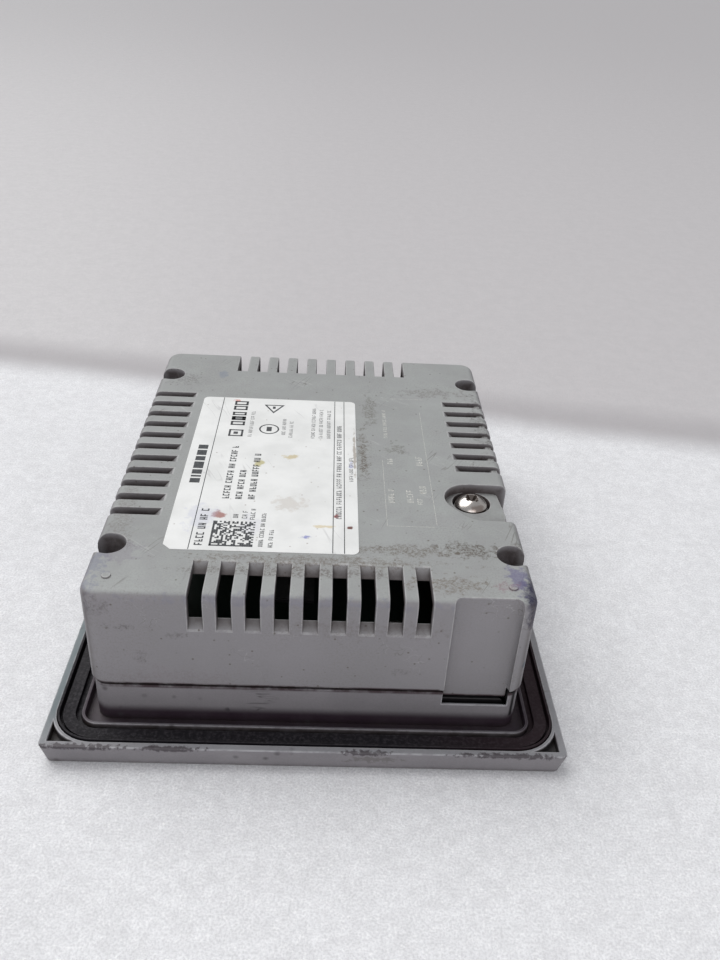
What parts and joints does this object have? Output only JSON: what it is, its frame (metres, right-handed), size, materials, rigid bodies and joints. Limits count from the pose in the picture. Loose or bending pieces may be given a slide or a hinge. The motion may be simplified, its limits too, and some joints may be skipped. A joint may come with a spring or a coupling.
{
  "type": "hmi touch panel",
  "caption": "Compact panel-mount operator panel: flanged front with window and function keys, sealing gasket, vented rear housing with sockets and earth screw.",
  "frame": {"origin": "middle of the front face, on the surface that the panel lies on face down", "axes": "+Z to the back of the panel, -X to its top edge as it hangs in the door, +Y to the end that holds key F1"},
  "size_m": [0.116, 0.14, 0.0404],
  "materials": {
    "frame_plastic": "moulded, lightly textured, worn edges",
    "seal_rubber": "black seal, dusty",
    "front_film": "fine matt printed film",
    "touch_glass": "dark display window",
    "key_film": "light grey key caps",
    "dome_steel": "bright",
    "circuit_board": "green solder mask",
    "small_screws": "zinc plated",
    "ribbon": "flat cable",
    "sheet_steel": "plain sheet",
    "display_glass": "dark",
    "white_plastic": "plain",
    "brass": "plain",
    "chip_black": "moulded",
    "capacitor_can": "sleeved",
    "ferrite": "sintered",
    "tinned_steel": "bright tin",
    "black_plastic": "moulded",
    "zinc_steel": "zinc plated",
    "nickel_screw": "nickel plated, domed",
    "cover_plastic": "moulded, lightly textured, scuffed",
    "housing_screws": "dark, dirty",
    "label_paper": "white film label, stained"
  },
  "bodies": {
    "panel": {"front_frame": "frame_plastic", "mounting_gasket": "seal_rubber", "front_film": "front_film", "touch_screen": "touch_glass", "key_domes": "dome_steel", "keypad_board": "circuit_board", "keypad_screws": "small_screws", "keypad_cable": "ribbon", "lcd_frame": "sheet_steel", "lcd_glass": "display_glass", "backlight": "white_plastic", "display_cable": "ribbon", "display_bracket": "sheet_steel", "bracket_screws": "small_screws", "board_standoffs": "brass", "main_board": "circuit_board", "board_screws": "small_screws", "processor": "chip_black", "memory_chips": "chip_black", "capacitors": "capacitor_can", "power_inductors": "ferrite", "board_sockets": "white_plastic", "rj45_shield": "tinned_steel", "rj45_insert": "black_plastic", "usb_shell": "tinned_steel", "usb_tongue": "black_plastic", "power_header": "black_plastic", "power_pins": "brass", "ground_insert": "brass", "ground_strap": "tinned_steel", "rear_cover": "cover_plastic", "cover_screws": "housing_screws", "rating_label": "label_paper"},
    "key_f1": {"f1_key": "key_film"},
    "key_f2": {"f2_key": "key_film"},
    "key_f3": {"f3_key": "key_film"},
    "key_f4": {"f4_key": "key_film"},
    "earth_washer": {"ground_washer": "zinc_steel"},
    "earth_screw": {"ground_screw": "nickel_screw"}
  },
  "joints": [
    {"name": "f1_press", "type": "slide", "parent": "panel", "child": "key_f1", "axis": [0, 0, 1], "range_m": [0, 0.0004], "stiffness_N_per_m": 6000, "springref_m": -0.0001},
    {"name": "f2_press", "type": "slide", "parent": "panel", "child": "key_f2", "axis": [0, 0, 1], "range_m": [0, 0.0004], "stiffness_N_per_m": 6000, "springref_m": -0.0001},
    {"name": "f3_press", "type": "slide", "parent": "panel", "child": "key_f3", "axis": [0, 0, 1], "range_m": [0, 0.0004], "stiffness_N_per_m": 6000, "springref_m": -0.0001},
    {"name": "f4_press", "type": "slide", "parent": "panel", "child": "key_f4", "axis": [0, 0, 1], "range_m": [0, 0.0004], "stiffness_N_per_m": 6000, "springref_m": -0.0001},
    {"name": "earth_washer_lift", "type": "slide", "parent": "panel", "child": "earth_washer", "axis": [0, 0, 1], "range_m": [0, 0.003]},
    {"name": "earth_screw_turn", "type": "hinge", "parent": "earth_washer", "child": "earth_screw", "pos_m": [0.0391, -0.0171, 0.0362], "axis": [0, 0, 1], "range_deg": [0, 1543]}
  ],
  "couplings": [
    {"joint": "earth_screw_turn", "follows": "earth_washer_lift", "rad_per_m": 8976}
  ]
}
